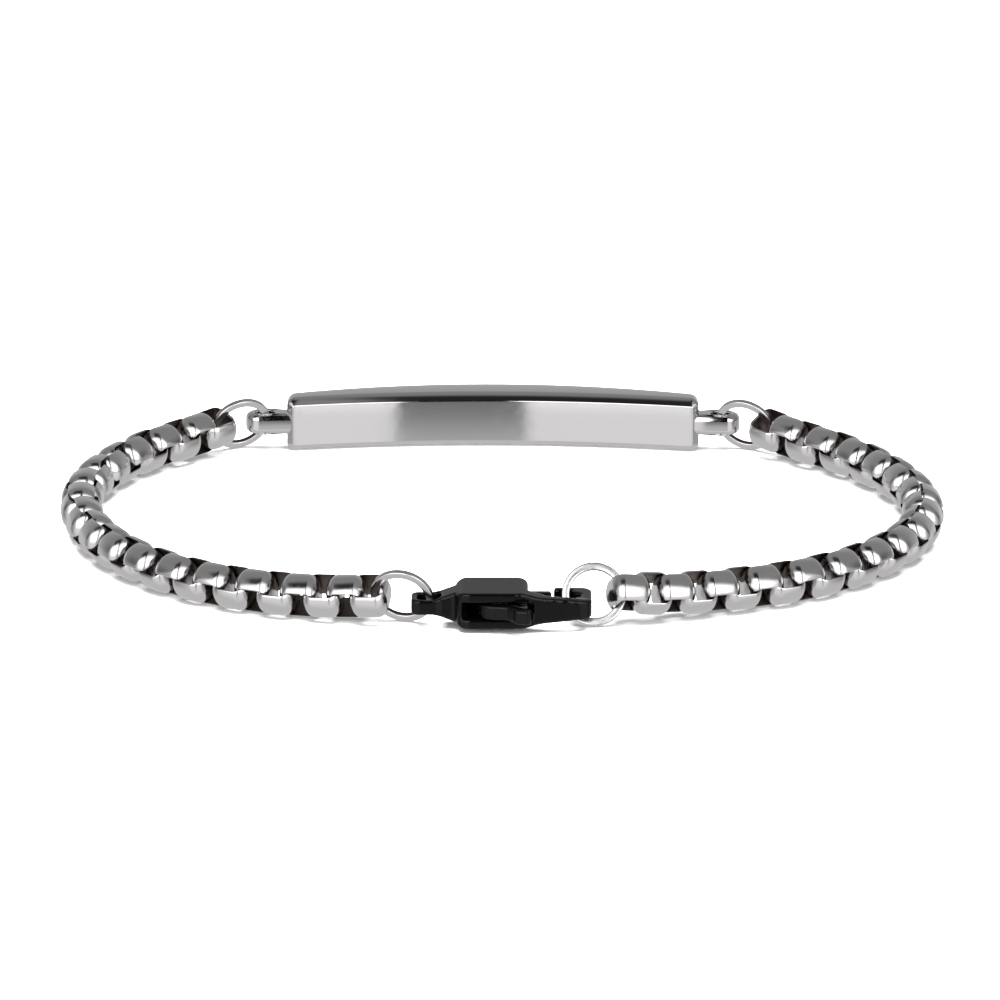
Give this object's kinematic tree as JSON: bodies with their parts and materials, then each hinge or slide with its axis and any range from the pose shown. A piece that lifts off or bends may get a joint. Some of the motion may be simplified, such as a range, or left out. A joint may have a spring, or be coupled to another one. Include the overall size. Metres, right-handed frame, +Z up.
{
  "type": "id bracelet",
  "caption": "Identity bracelet: a curved bare name plate joined to a black lobster clasp by two runs of interlocked polished box links, lying closed.",
  "frame": {"origin": "centre of the footprint, on the surface the bracelet lies on", "axes": "+X to the right as seen from the clasp's side, +Y from the clasp to the name plate, +Z up"},
  "size_m": [0.082, 0.0612, 0.0055],
  "materials": {
    "polished_steel": "polished",
    "ring_steel": "satin",
    "black_clasp": "gloss"
  },
  "bodies": {
    "bracelet": {"id_plate": "polished_steel", "plate_ring_left": "ring_steel", "plate_ring_right": "ring_steel", "clasp_ring_left": "ring_steel", "clasp_ring_right": "ring_steel", "chain_left": "polished_steel", "chain_right": "polished_steel", "clasp_body": "black_clasp"},
    "lever": {"clasp_lever": "black_clasp"}
  },
  "joints": [
    {"name": "lever_hinge", "type": "hinge", "parent": "bracelet", "child": "lever", "pos_m": [-0.0003, -0.02548, 0.00208], "axis": [0, 0, -1], "range_deg": [0, 16], "stiffness_Nm_per_rad": 0.004, "springref_deg": -8.59}
  ]
}
